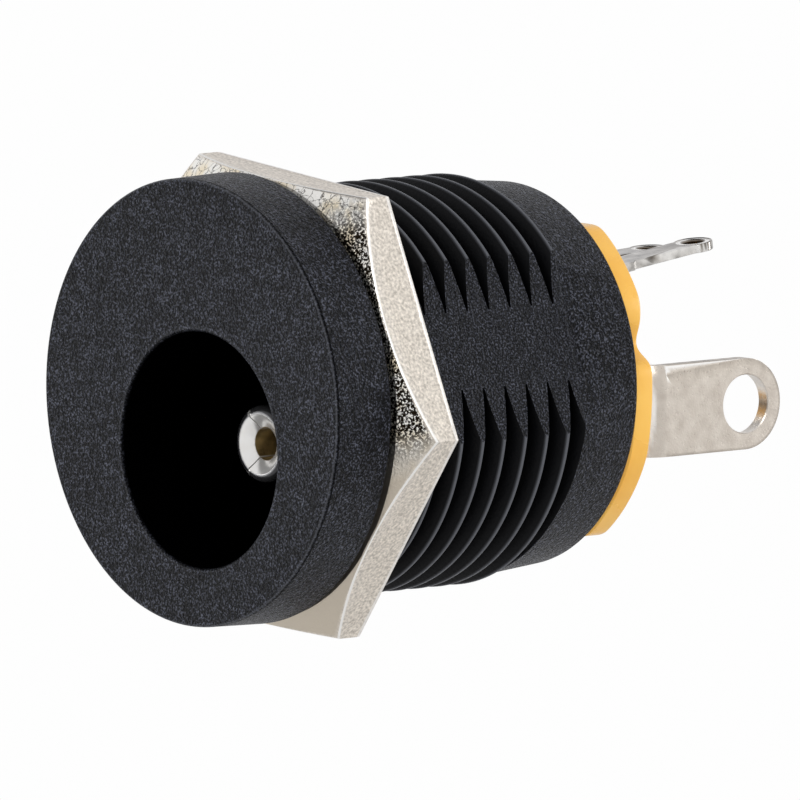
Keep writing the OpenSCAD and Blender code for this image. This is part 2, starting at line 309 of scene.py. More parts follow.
def make_housing_plastic():
    """Dark ground and painted pale glints mixed by the finest grain, times a broad cloud.

    Above zero the mark mixes in a pale grey, a painted highlight, below zero a black without gloss,
    painted shade; the relief is the leather's height plus a share of the finest grain's."""
    made, tree, shader = material("charcoal_nylon")
    fine, glint = grain(tree, 17000, detail=3.5, low=0.50, high=0.66)
    leather, _ = grain(tree, 9500, detail=4.0)
    _, broad = grain(tree, 2200, detail=5.0, low=0.34, high=0.66)
    mark, smooth = stored(tree, "mark"), stored(tree, "smooth")
    painted_shade = below_zero(tree, mark)
    # The pale specks are painted glints; the dark ones are the grain.
    specks_and_painted_glints = mix(tree, glint, (0.0030, 0.0033, 0.0046), (0.120, 0.127, 0.158))
    cloud = mix(tree, broad, (0.50, 0.51, 0.54), (1.15, 1.17, 1.22))
    mottled = mix(tree, 1.0, specks_and_painted_glints, cloud, blend="MULTIPLY")
    tone = mix(tree, smooth, mottled, (0.0038, 0.0040, 0.0048))
    # Above zero the mark paints a pale grey highlight on edges and crests.
    painted_edges = mix(tree, mark, tone, (0.175, 0.183, 0.205))
    # Below zero the mark paints shade: black, without gloss, in the socket, the recess and the thread's
    # roots.
    gloss = calc(tree, "MULTIPLY", remap(tree, painted_shade, 1.0, 0.0),
                 remap(tree, smooth, 0.16, 0.09))
    feed(tree, shader, {
        "Base Color": mix(tree, painted_shade, painted_edges, (0.0004, 0.0004, 0.0005)),
        "Roughness": remap(tree, glint, 0.40, 0.30), "Specular IOR Level": gloss})
    relief = calc(tree, "MULTIPLY_ADD", fine, 0.45, leather)
    add_bump(tree, shader, relief, remap(tree, smooth, 1.0, 0.10), 0.00022)
    return made


HOUSING_PLASTIC = make_housing_plastic()
print("finish", HOUSING_PLASTIC.name)

# %% [markdown]
# ## Nickel
# The nut is nickel plate over a coarse blank: satin on the sides, with painted highlights on its edges,
# rough on the chamfered face, whose bright crown and black pits are partly painted light and shade.
# The lug and the tags are the same plate on rolled strip, with painted highlights on their edges and
# dark cut walls that carry painted shade, which are marked on the mesh, and the pin is polished, with
# a painted dark reflection on its rounded edge.

# %% Nut nickel
# Painted highlight: the colour that the marks put on the edges of the nickel parts.
PAINTED_HIGHLIGHT_NICKEL = (1.0, 0.985, 0.95)
CRAZED_Z = (0.0034, 0.0046)  # metres over the axis between which pits give way to cracks
RUBBED_Z = (-0.0022, -0.0034)  # and under the axis, between which they are rubbed away


def make_nut_nickel():
    """Satin sides, painted highlights on the edges where mark is below zero, a rough cone where it is
    above.

    High on the cone the plate is crazed: cells whose borders wander with a noise, on a near-white and
    less metallic plate that is partly a painted highlight. Lower down it is pitted black, the black
    partly a painted dark reflection of the flange, and lowest it is rubbed smooth; the two bands blend
    over the height."""
    made, tree, shader = material("nut_nickel")
    fine, satin_mask = grain(tree, 12000, detail=6.0, low=0.3, high=0.7)
    pit_height, pits = grain(tree, 15000, detail=3.0, low=0.50, high=0.58)
    _, patch = grain(tree, 1500, detail=3.0, low=0.36, high=0.54)
    place = node(tree, "TexCoord").outputs["Object"]
    height = node(tree, "SeparateXYZ", {0: place}).outputs["Z"]
    high = remap(tree, height, 0.0, 1.0, *CRAZED_Z)
    low = remap(tree, height, 0.0, 1.0, *RUBBED_Z)
    wander = node(tree, "TexNoise", {"Vector": place, "Scale": 3800.0, "Detail": 3.0})
    swing = node(tree, "VectorMath", {0: wander.outputs["Color"], 1: (0.00042,) * 3},
                 operation="MULTIPLY")
    moved = node(tree, "VectorMath", {0: place, 1: swing.outputs["Vector"]}, operation="ADD")
    cells = node(tree, "TexVoronoi", {"Vector": moved.outputs["Vector"], "Scale": 3600.0},
                 feature="DISTANCE_TO_EDGE")
    cracks = remap(tree, cells.outputs["Distance"], 0.0, 1.0, 0.0, 0.06)
    clean = calc(tree, "MAXIMUM", mix_value(tree, high, pits, cracks), low)
    mark = stored(tree, "mark")
    satin = mix(tree, satin_mask, (0.50, 0.455, 0.395), (1.0, 0.925, 0.82))
    # Painted highlights on the seam and the rear edges where mark is below zero.
    sides = mix(tree, below_zero(tree, mark), satin, PAINTED_HIGHLIGHT_NICKEL)
    # The near-white of the crown is partly a painted highlight, and the black ground of the pits partly a
    # painted dark reflection of the flange.
    gold = mix(tree, patch, (0.95, 0.84, 0.64), (1.0, 0.98, 0.93))
    coarse = mix(tree, clean, (0.016, 0.011, 0.006), gold)
    cone = mix(tree, low, coarse, (0.60, 0.535, 0.44))
    # The crown is also made less metallic, which whitens it as part of the painted highlight.
    crown = calc(tree, "MULTIPLY", mark, high, clamp=True)
    feed(tree, shader, {
        "Base Color": mix(tree, mark, sides, cone),
        "Metallic": remap(tree, crown, 1.0, 0.35),
        "Roughness": remap(tree, mark, 0.38, 0.42)})
    calm = calc(tree, "MULTIPLY_ADD", calc(tree, "MAXIMUM", low, high), -0.8, 1.0)
    rough = calc(tree, "MULTIPLY", pit_height, calm)
    relief = mix_value(tree, mark, calc(tree, "MULTIPLY", fine, 0.14), rough)
    add_bump(tree, shader, relief, 1.0, 0.00007)
    return made


# %% Strip and pin nickel


def make_strip_nickel(name, dark, light, rough, bump):
    """Plated strip: cloudy colour, satin roughness and a faint rolled surface.

    Above zero the mark mixes in a dark brown: bare metal on the cut walls, and painted shade and
    painted dark reflections where the lug and the tags put it on their faces. Below zero it mixes in
    a painted highlight, fully at -0.5, and from there to -1 the plate turns matt, which whitens the
    highlight further."""
    made, tree, shader = material(name)
    _, cloud = grain(tree, 2600, detail=7.0, low=0.25, high=0.75)
    fine, fine_mask = grain(tree, 16000, detail=2.0, low=0.3, high=0.7)
    mark = stored(tree, "mark")
    # Dark brown for the cut walls' bare metal, also used as painted shade.
    wall = mix(tree, cloud, (0.035, 0.022, 0.012), (0.14, 0.10, 0.06))
    clouded = mix(tree, cloud, dark, light)
    # Painted highlight where mark is below zero.
    plate = mix(tree, below_zero(tree, mark, 2.0), clouded, PAINTED_HIGHLIGHT_NICKEL)
    feed(tree, shader, {
        "Base Color": mix(tree, mark, plate, wall),
        "Metallic": remap(tree, mark, 1.0, 0.3, -0.5, -1.0),
        "Roughness": remap(tree, fine_mask, rough * 0.8, rough * 1.25)})
    add_bump(tree, shader, fine, bump, 0.00001)
    return made


def make_pin_nickel():
    """Polished plate; at mark 1 it is the bare brass of the bore, at -1 a painted dark reflection on the
    rounded edge.
    """
    made, tree, shader = material("pin_nickel")
    _, cloud = grain(tree, 3000, detail=4.0, low=0.3, high=0.7)
    mark = stored(tree, "mark")
    plate = mix(tree, cloud, (0.96, 0.94, 0.90), (1.0, 0.99, 0.97))
    brass = mix(tree, cloud, (0.16, 0.11, 0.045), (0.62, 0.46, 0.20))
    # Painted dark reflection on the nose's rounded edge, where mark is below zero.
    painted_edges = mix(tree, below_zero(tree, mark), plate, (0.055, 0.055, 0.058))
    feed(tree, shader, {
        "Base Color": mix(tree, mark, painted_edges, brass), "Metallic": 0.6,
        "Roughness": remap(tree, mark, 0.19, 0.42)})
    return made


NUT_NICKEL = make_nut_nickel()
LUG_NICKEL = make_strip_nickel("lug_nickel", (0.56, 0.50, 0.435), (0.72, 0.66, 0.585), 0.33, 0.5)
# The contacts' cloud runs from near black to near white: partly painted dark and bright reflections on
# the strip.
CONTACT_NICKEL = make_strip_nickel("contact_nickel", (0.12, 0.11, 0.10), (0.88, 0.85, 0.80), 0.08, 0.2)
PIN_NICKEL = make_pin_nickel()

# %% [markdown]
# ## Amber resin
# The insulator is a glossy thermoset, orange-yellow right through, with a faint marbling.

# %% Amber resin


def make_amber():
    """Two close oranges mixed by a broad cloud, which also sets the gloss, and a faint relief."""
    made, tree, shader = material("amber_resin")
    _, cloud = grain(tree, 700, detail=3.0, low=0.3, high=0.7)
    fine, _ = grain(tree, 5000, detail=2.0)
    feed(tree, shader, {
        "Base Color": mix(tree, cloud, (0.92, 0.47, 0.060), (0.98, 0.56, 0.095)),
        "Roughness": remap(tree, cloud, 0.22, 0.32)})
    add_bump(tree, shader, fine, 0.12, 0.00002)
    return made


AMBER = make_amber()
finishes = (HOUSING_PLASTIC, NUT_NICKEL, LUG_NICKEL, CONTACT_NICKEL, PIN_NICKEL, AMBER)
print("materials:", [finish.name for finish in finishes])

# %% [markdown]
# ## Thread as a height over a helix
# A row of the thread's grid is a helix, along which the distance from the axis stays the same,
# so the crest and the root run exactly along rows. Where a row is further out than a flat, its
# points lie on the flat; one column falls exactly on each edge of a flat, which keeps the pointed
# ends crisp.

# %% Thread section and grid columns
ROOT_R = THREAD_R - THREAD_DEPTH
RIDGE_AT = 6.81  # a crest crosses the +X direction here
THREAD_END = 7.53  # the plain ring starts here
CREST_HALF = 0.055  # half the width of a crest before it is rounded
FLANK = 0.30  # from there to the root, along the axis
SOFTNESS = 0.004  # rounds the crest
FLAT_COLS, ROUND_COLS = 26, 118  # columns on a flat and on the round between the flats


def thread_radius(s):
    """Distance from the axis at helix height s.

    A ramp falls from 1 at the crest's edge to 0 at the root; the section is the soft minimum of
    the ramp and 1, stretched so that it reaches THREAD_R in the middle of the crest."""
    t = np.abs((s - RIDGE_AT + PITCH / 2) % PITCH - PITCH / 2)
    ramp = 1 + (CREST_HALF - t) / FLANK
    soft = 0.5 * (1 + ramp - np.sqrt((1 - ramp) ** 2 + SOFTNESS))
    top = 0.5 * (2 + CREST_HALF / FLANK - np.sqrt((CREST_HALF / FLANK) ** 2 + SOFTNESS))
    return ROOT_R + THREAD_DEPTH * np.clip(soft, 0, top) / top


def column_angles(radius):
    """Angles of all columns for rows of the given radius: flat, round, flat, round.

    The edge of a flat is where the radius times the cosine of the angle is FLAT_X. Within each
    stretch the columns follow half a cosine, so they crowd at the edges."""
    edge = np.arccos(np.clip(FLAT_X / np.asarray(radius, dtype=float), -1, 1))[..., None]
    stops = [-edge, edge, np.pi - edge, np.pi + edge, 2 * np.pi - edge]
    spans = []
    for n, count in enumerate((FLAT_COLS, ROUND_COLS, FLAT_COLS, ROUND_COLS)):
        f = 0.5 - 0.5 * np.cos(np.pi * np.arange(count) / count)
        spans.append(stops[n] * (1 - f) + stops[n + 1] * f)
    spans.append(stops[-1] + 0 * edge)
    return np.concatenate(spans, axis=-1)


def flat_radius(angle):
    """Distance from the axis to the nearer flat: FLAT_X over the cosine of the angle."""
    return FLAT_X / np.maximum(np.abs(np.cos(angle)), 1e-6)


BASE = column_angles(THREAD_R)
print("columns:", BASE.size)

# %% Thread rows
# Where the rows lie in one pitch, measured from a crest: close together on crest and root.
STEPS = np.array([0.0, 0.035, 0.06, 0.085, 0.12, 0.2, 0.29, 0.355, 0.3825, 0.41, 0.475, 0.565,
                  0.645, 0.68, 0.705, 0.73])
SPARE = 0.15  # rows go on this far beyond both ends of the thread


def thread_rows():
    """All rows of the thread: y = s - PITCH * angle / turn, held between the flange and the ring.

    Held points take the column angles of a crest, so that those of one column coincide and the
    skin stays closed. The mark is above zero on the crests and where a ridge meets the edge of a
    flat, where it paints a highlight, and falls below zero towards the roots, where it paints shade."""
    first = math.floor(-RIDGE_AT / PITCH) - 1
    last = math.ceil((THREAD_END + PITCH - RIDGE_AT) / PITCH) + 1
    s = (RIDGE_AT + np.arange(first, last)[:, None] * PITCH + STEPS[None, :]).ravel()
    s = s[(s > -SPARE) & (s < THREAD_END + PITCH + SPARE)]
    ridge = thread_radius(s)
    angle = column_angles(ridge)
    y = s[:, None] - PITCH * angle / (2 * np.pi)
    held = (y < 0) | (y > THREAD_END)
    angle = np.where(held, BASE, angle)
    y = np.clip(y, 0, THREAD_END)
    radius = np.minimum(thread_radius(y + PITCH * angle / (2 * np.pi)), flat_radius(angle))
    share = (radius - ROOT_R) / THREAD_DEPTH
    # Painted highlight on the crests, painted shade towards the roots.
    mark = np.clip(share * 20 - 19, 0, 1) * 0.6 - np.clip(1 - share * 1.3, 0, 1) * 0.95
    mark *= radius < flat_radius(angle) - 1e-4
    ends = np.cumsum([0, FLAT_COLS, ROUND_COLS, FLAT_COLS, ROUND_COLS])
    # A painted highlight line where a ridge meets the edge of a flat.
    mark[:, ends] = np.where(ridge[:, None] > FLAT_X, 0.5, mark[:, ends])
    return ring(radius, angle, y), mark


thread_points, thread_mark = thread_rows()
print("thread grid:", thread_points.shape[:2], "rows and columns")

# %% [markdown]
# ## Housing
# The rest of the housing continues the thread's grid: the flange in front, the plain ring
# behind, and inside them the socket, with the channel in which the sleeve spring lies. Rows run
# along the section of the part and close on themselves, so the housing is one closed skin.

# %% Channel and ring
CHANNEL = (-1.725, 1.775, 4.155)  # sides and top of the contact channel, in the terminals' frame
CHANNEL_FRONT = 0.5
RECESS_R = 4.35  # the hole in the rear that takes the insulator's plug
RING_EDGE = 0.08  # the ring's rear edge is rounded over this length,
RING_FALL = 9  # by this times the square of the way into it
RUN_OUT = 0.8  # below 1 the flats run out into the ring quickly at first


def channel_radius(angle):
    """Distance from the socket axis to the outline of socket and channel together.

    It is the larger of the socket's radius and, above the axis, of the smaller of the distances
    to the channel's side and to its top."""
    own = angle + TURN
    c, s = np.cos(own), np.sin(own)
    side = np.where(c > 0, CHANNEL[1], CHANNEL[0]) / np.where(np.abs(c) < 1e-9, 1e-9, c)
    top = CHANNEL[2] / np.where(s > 1e-9, s, 1e-9)
    return np.maximum(SOCKET_R, np.where(s > 0, np.minimum(side, top), 0))


def socket_angles():
    """The columns' angles, with the nearest ones moved onto the corners of the channel."""
    angle = BASE.copy()
    for x in CHANNEL[:2]:
        for z in (CHANNEL[2], math.sqrt(SOCKET_R ** 2 - x ** 2)):
            corner = math.atan2(z, x) - TURN
            angle[np.argmin(np.abs(angle - corner))] = corner
    return angle


def ring_row(y):
    """One loop of the plain ring: its radius falls with the draft, and past FLAT_END the flats,
    which limit it at first, give way to the full round in proportion to a power of the way gone."""
    way = (y - THREAD_END) / (BARREL_END - THREAD_END)
    radius = RING_FRONT_R + (RING_R - RING_FRONT_R) * way
    angle = column_angles(radius)
    out = np.clip((y - FLAT_END) / (BARREL_END - FLAT_END), 0, 1) ** RUN_OUT
    rounded = max(0.0, y - (BARREL_END - RING_EDGE))
    flatted = np.minimum(radius, flat_radius(angle))
    return ring(flatted * (1 - out) + radius * out - rounded ** 2 * RING_FALL, angle, y)


# %% Housing skin
RIM_R = FLANGE_R - 0.05  # the flange's rim at its front: it widens to the rear
RIM_EDGE, MOUTH = 0.08, 0.08  # rounding of the rim's front edge and of the socket's mouth
# The rim's marks paint a highlight line on its front edge and a dark line behind it.
RIM_MARKS = (0, 0.1, 0.45, 0.3, -0.4, -0.9)  # over that edge: a pale line with a dark one behind
RING_ROWS = (THREAD_END, THREAD_END + 0.04, FLAT_END - 0.02, FLAT_END + 0.02, 7.9, 8.2, 8.6, 9.0, 9.4,
             BARREL_END - RING_EDGE, BARREL_END - 0.03, BARREL_END)


def housing_parts():
    """The skin as one sheet of loops, with their marks and with 1 as smooth on the thread.

    The loops go from the mouth over the face and the rim to the flange's rear, along the thread
    and the ring, round into the recess, and back along the channel and the socket."""
    inner = socket_angles()
    loops, marks, smooth = [], [], []

    def add(points, mark=0.0, plain=0.0):
        """The next loop, with its mark and its share without grain."""
        loops.append(points)
        marks.append(np.broadcast_to(mark, len(points)))
        smooth.append(np.broadcast_to(plain, len(points)))

    def socket_ring(radius, y):
        """A loop round the socket's own axis."""
        return ring(radius, inner, y, -SOCKET_DROP)

    # Marks below zero paint shade into the socket's mouth.
    add(socket_ring(SOCKET_R, FRONT + MOUTH), -1)
    add(socket_ring(SOCKET_R + MOUTH * 0.4, FRONT + MOUTH * 0.35), -0.7)
    mouth_loop, face_loop = socket_ring(SOCKET_R + MOUTH, FRONT), ring(RIM_R - RIM_EDGE, BASE, FRONT)
    # A faint painted highlight on the mouth's edge.
    add(mouth_loop, 0.15)
    for f in (0.03, 0.35, 0.7):
        add(mouth_loop * (1 - f) + face_loop * f)
    for a, mark in zip(np.linspace(0, np.pi / 2, len(RIM_MARKS)), RIM_MARKS):
        add(ring(RIM_R - RIM_EDGE * (1 - np.sin(a)), BASE, FRONT + RIM_EDGE * (1 - np.cos(a))), mark)
    # A painted dark line behind the rim's edge.
    add(ring(RIM_R, BASE, FRONT + RIM_EDGE + 0.02), -0.8)
    add(ring(RIM_R, BASE, FRONT + RIM_EDGE + 0.05))
    add(ring(FLANGE_R, BASE, -0.06))
    add(ring(FLANGE_R - 0.05, BASE, 0.0))
    for row, mark in zip(thread_points, thread_mark):
        add(row, mark, np.abs(row[:, 0]) < FLAT_X - 1e-3)
    # The ring's first row carries a painted highlight line.
    for y in RING_ROWS:
        add(ring_row(y), 0.3 if y == THREAD_END else 0.0)
    add(ring(RECESS_R, BASE, BARREL_END))
    # Painted shade in the recess, the channel and the socket.
    add(ring(RECESS_R, BASE, PLUG_FRONT), -1)
    for y in (PLUG_FRONT, CHANNEL_FRONT):
        add(socket_ring(channel_radius(inner), y), -1)
    for f in (1, 0.75, 0.5, 0.3, 0.12, 0):
        add(socket_ring(SOCKET_R, FRONT + MOUTH + (CHANNEL_FRONT - FRONT - MOUTH) * f), -1)
    return sheet(np.stack(loops)), np.stack(marks).ravel(), np.stack(smooth).ravel()


housing_sheet, housing_marks, housing_smooth = housing_parts()
housing_skin = piece("housing_skin", [housing_sheet], HOUSING_PLASTIC, sharp=30, marks=[housing_marks],
                     smooth=housing_smooth)
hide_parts("housing")
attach(housing_skin, "jack")

# %% [markdown]
# ## Hex nut
# The nut is a hexagon whose flange side is turned to a cone. The cone meets each of the six
# sides in a hyperbola, which comes out by itself when the rows of the grid run from the face
# along the cone to the hexagon's own radius.

# %% Nut skin
NUT_T = NUT_Y1 - NUT_Y0
NUT_FACE_R = 6.04  # the flat ring of the face ends here and the cone starts
NUT_HALF_AF = 6.05  # from the axis to the middle of a side
NUT_TURN = math.radians(-22)
NUT_CONE = math.radians(33.7)  # how steeply the cone falls
NUT_BORE_R, NUT_GROOVE = 5.7, 0.1  # mean radius of the bore and depth of its grooves
NUT_LEAD = 0.1  # countersinks of the bore
NUT_ROUND = 0.1  # radius of the rounded seam between cone and side, which carries a painted highlight
NUT_DISH = 0.02  # the sides lie this much lower than their corners
HEX_COLS = 44  # columns on one side
# The seam's rows; marks below zero paint a highlight along it.
SEAM_ROWS = ((0.12, 0.3), (0.37, -0.9), (0.62, -1), (0.88, -0.9))  # share of the turn, mark
# Rows round the rear edge: inset, depth, mark; the marks paint a highlight that fades towards the rear.
REAR_ROWS = ((0.006, 0.12, -0.8), (0.01, 0.05, -0.5), (0.03, 0.02, -0.3), (0.07, 0, 0))


def nut_angles():
    """Columns of the nut: equal steps along each of the six sides, from corner to corner."""
    one = np.arctan(np.tan(np.pi / 6) * np.linspace(-1, 1, HEX_COLS, endpoint=False))
    return (NUT_TURN + np.pi / 6 + np.arange(6)[:, None] * np.pi / 3 + one[None, :]).ravel()


def nut_parts():
    """The nut's loops from the countersink over the cone, the sides and the rear to the bore.

    A side's radius is NUT_HALF_AF over the cosine of the angle from its middle; the cone's depth
    is its slope times the way out from NUT_FACE_R. The seam between them is an arc of NUT_ROUND.
    The bore's radius is a triangle wave over y plus the helix's rise."""
    angle = nut_angles()
    local = (angle - NUT_TURN) % (np.pi / 3) - np.pi / 6
    side_r = NUT_HALF_AF / np.cos(local)
    slope = math.tan(NUT_CONE)
    loops, marks = [], []

    def add(radius, y, mark=0):
        """The next loop, at y from the nut's face, with its mark."""
        loops.append(ring(radius, angle, NUT_Y0 + y))
        marks.append(np.full(len(angle), float(mark)))

    add(NUT_BORE_R, NUT_LEAD, 1)
    add(NUT_BORE_R + NUT_LEAD, 0.0, 1)
    add(NUT_FACE_R - 0.02, 0.0, 1)
    for f in (0.0, 0.3, 0.6, 0.85):
        add(NUT_FACE_R + (side_r - NUT_FACE_R) * f, (side_r - NUT_FACE_R) * f * slope, 1)
    seam = (side_r - NUT_FACE_R) * slope
    for share, mark in SEAM_ROWS:
        turn = (np.pi / 2 - NUT_CONE) * (1 - share)
        add(side_r - NUT_ROUND * (1 - np.cos(turn)), seam + NUT_ROUND * (0.55 - np.sin(turn)), mark)
    corner = np.clip(1 - np.abs(np.abs(local) - np.pi / 6) / 0.03, 0, 1)
    panel = side_r - NUT_DISH * (1 - corner)
    # A painted highlight fading onto the side just below the seam.
    add(side_r - 0.001, seam + NUT_ROUND * 0.6, -0.7)
    add(panel, seam + NUT_ROUND * 0.6 + 0.025, -0.1)
    for f in (0.3, 0.6, 0.85):
        add(panel, seam + 0.1 + (NUT_T - 0.28 - seam) * f)
    add(panel, NUT_T - 0.15)
    for inset, depth, mark in REAR_ROWS:
        add(side_r - inset, NUT_T - depth, mark)
    add(NUT_BORE_R + NUT_LEAD, NUT_T)
    for y in np.linspace(NUT_T - NUT_LEAD, NUT_LEAD, 60):
        wave = np.abs(((y + NUT_Y0 + PITCH * angle / (2 * np.pi)) / PITCH) % 1 - 0.5) * 2
        add(NUT_BORE_R + NUT_GROOVE * (wave - 0.5), y)
    loops[-1] = loops[0]
    return sheet(np.stack(loops), wrap=True), np.stack(marks).ravel()


nut_sheet, nut_marks = nut_parts()
nut_skin = piece("nut_skin", [nut_sheet], NUT_NICKEL, sharp=25, marks=[nut_marks])
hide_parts("hex_nut")
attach(nut_skin, "nut")

# %% [markdown]
# ## Rear insulator
# The insulator is a moulded disc with four flats; on both sides a step ends in a notch and a
# rounded shoulder. Its outline is a radius over the angle: the nearest of the round rim, the
# flats, the step, the shoulder's arc and the notch's arc, smoothed a little as a moulding is.

# %% Insulator outline
DISC_R, DISC_UPPER_R = 5.25, 5.14  # the round rim, below and above
DISC_FLAT, DISC_HALF_H = 5.10, 4.25  # the flats at the sides, and at the top and bottom
DISC_STEP = 0.5  # above the step the sides stand this much further in
DISC_CROWN = 0.058  # how fast the sides fall away from their middle, per mm squared
SHOULDER_Z, SHOULDER_R, NOTCH_R = 0.9, 0.5, 0.45


def arc_hit(angle, centre, radius, near):
    """Distance at which a ray from the axis meets a circle, nan if it misses.

    It is the centre's distance along the ray, less or plus half the chord."""
    along = centre[0] * np.cos(angle) + centre[1] * np.sin(angle)
    across = centre[0] ** 2 + centre[1] ** 2 - along ** 2
    half = np.sqrt(np.where(across < radius ** 2, radius ** 2 - across, np.nan))
    return np.where(along > 0, along - half if near else along + half, np.nan)


def disc_radius(angle):
    """Outline of the disc in its own turned axes, the same on the left and the right.

    The sides are crowned: at height z from their middle they stand DISC_CROWN times z squared
    further in, which a few rounds of substitution solve for the distance along the ray."""
    folded = np.arctan2(np.sin(angle), np.abs(np.cos(angle)))
    c, s = np.maximum(np.cos(folded), 1e-6), np.sin(folded)

    def side(reach, middle):
        """Distance to a crowned side that stands at reach."""
        radius = reach / c
        for _ in range(4):
            radius = np.clip((reach - DISC_CROWN * (radius * s - middle) ** 2) / c, 3, 9)
        return radius

    flat, step = side(DISC_FLAT, 0), side(DISC_FLAT - DISC_STEP, 2)
    shoulder = arc_hit(folded, (DISC_FLAT - SHOULDER_R, SHOULDER_Z - SHOULDER_R), SHOULDER_R, False)
    upper = np.where(np.isnan(shoulder), step, np.fmax(shoulder, step))
    radius = np.where(flat * s < SHOULDER_Z - SHOULDER_R, flat, upper)
    notch = arc_hit(folded, (DISC_FLAT - DISC_STEP / 2, SHOULDER_Z + 0.7 * NOTCH_R), NOTCH_R, True)
    rim = np.where(s > 0, DISC_UPPER_R, DISC_R)
    return np.minimum(np.fmin(radius, notch), np.minimum(rim, DISC_HALF_H / np.maximum(np.abs(s), 1e-6)))


def smooth_round(values, width):
    """Average of neighbours round a closed outline, weighted by a bell of the given width."""
    offsets = np.arange(-3 * width, 3 * width + 1)
    weights = np.exp(-0.5 * (offsets / width) ** 2)
    weights /= weights.sum()
    return sum(w * np.roll(values, int(o)) for w, o in zip(weights, offsets))


disc_angle = np.linspace(0, 2 * np.pi, 900, endpoint=False)
disc_outline = np.minimum(smooth_round(disc_radius(disc_angle), 5), DISC_R)
print(f"disc outline radius {disc_outline.min():.2f} to {disc_outline.max():.2f} mm")

# %% Insulator piece
TAG_X, TAG_Z, TAG_W, STRIP_T = 0.925, 3.88, 1.1, 0.25  # the tags where they leave the insulator
SLOT_GAP, SLOT_DEPTH = 0.05, 2.0
PLUG_R, PLUG_EDGE = 4.3, 0.1  # the plug inside the housing and its chamfer
DISC_CHAMFER, DISC_EDGE = 0.06, 0.1  # in front, and the rounding at the rear


def slot_loop(x, y):
    """Corners of the slot round one tag, in the part's frame."""
    w, h = TAG_W / 2 + SLOT_GAP, STRIP_T / 2 + SLOT_GAP
    corners = ((-1, -1), (1, -1), (1, 1), (-1, 1))
    return turned(np.array([(x + side * w, y, TAG_Z + up * h) for side, up in corners]))


def disc_loop(inset, y):
    """The disc's outline, drawn in by inset."""
    return ring(disc_outline - inset, disc_angle - TURN, y)


def insulator_parts():
    """Plug and disc as one sheet of loops, lids at both ends, and the two slots in the rear.

    The rear edge is a quarter circle: inset by 1 - cos and set back by 1 - sin of its turn."""
    loops = [ring(PLUG_R - PLUG_EDGE, disc_angle, PLUG_FRONT),
             ring(PLUG_R, disc_angle, PLUG_FRONT + PLUG_EDGE), ring(PLUG_R, disc_angle, BARREL_END),
             disc_loop(DISC_CHAMFER, BARREL_END), disc_loop(0.0, BARREL_END + DISC_CHAMFER)]
    loops += [disc_loop(DISC_EDGE * (1 - np.cos(a)), REAR - DISC_EDGE + DISC_EDGE * np.sin(a))
              for a in np.linspace(0, np.pi / 2, 5)]
    mouths = [slot_loop(x, REAR) for x in (TAG_X, -TAG_X)]
    parts = [sheet(np.stack(loops), wrap=True), lid(loops[0]), lid(loops[-1], mouths)]
    for x, mouth in zip((TAG_X, -TAG_X), mouths):
        end = slot_loop(x, REAR - SLOT_DEPTH)
        parts += [sheet(np.stack([mouth, end]), wrap=True), lid(end)]
    return parts


insulator = piece("insulator_disc", insulator_parts(), AMBER, sharp=40)
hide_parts("rear_insulator")
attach(insulator, "jack")

# %% [markdown]
# ## Centre pin
# The pin is turned from brass and plated. Its nose is hollow and slit into three fingers, so that
# it grips the plug. Each finger is the pin's section swept over a third of the circle, less half
# a slit at both ends; the slit's half angle grows towards the axis, so its walls are parallel.

# %% Pin fingers and shaft
PIN_R, PIN_HOLE_R = 1.05, 0.45
PIN_EDGE, FUNNEL = 0.2, 0.24  # rounding of the nose, and the fall of its face towards the hole
PIN_DEPTH = 3.0  # of the hole and the slits
SLIT_W, SLIT_AT = 0.035, math.radians(-18)
COLLAR_R, COLLAR_T, SHANK_R = 1.7, 0.6, 0.8
LUG_T = 0.4  # the tail is peened over the lug's foot
RIVET_R, RIVET_H = 1.2, 0.5


def finger(start):
    """One finger of the nose, a closed loop of section points swept round the socket's axis.

    It starts and ends by the arcsine of half a slit over the radius from its third of the turn.
    The marks are 1 in the hole and -1 on the rounded edge, which gets a painted dark reflection."""
    turn = np.radians(np.linspace(256, 360, 10))
    edge = xyz(PIN_R - PIN_EDGE + PIN_EDGE * np.cos(turn), PIN_TIP + PIN_EDGE + PIN_EDGE * np.sin(turn))
    section = np.array([
        (PIN_HOLE_R, PIN_TIP + PIN_DEPTH), (PIN_HOLE_R, PIN_TIP + 0.8),
        (PIN_HOLE_R, PIN_TIP + FUNNEL + 0.01), (PIN_HOLE_R + 0.012, PIN_TIP + FUNNEL - 0.008),
        (PIN_HOLE_R + 0.2, PIN_TIP + FUNNEL * 0.5), *edge, (PIN_R, PIN_TIP + PIN_DEPTH)])
    r, y = section[:, 0, None], section[:, 1, None]
    half = np.arcsin(SLIT_W / 2 / r)
    f = np.linspace(0, 1, 25)[None, :]
    grid = ring(r, start + half + f * (2 * np.pi / 3 - 2 * half), y, -SOCKET_DROP)
    brass = np.repeat([1.0, 0.0, -1.0, 0.0, 1.0], [3, 3, len(edge) - 1, 1, 1])
    marks = [np.repeat(brass, f.size), 0.0, 0.0]
    return [sheet(np.concatenate([grid, grid[:1]])), lid(grid[:, 0]), lid(grid[:, -1])], marks


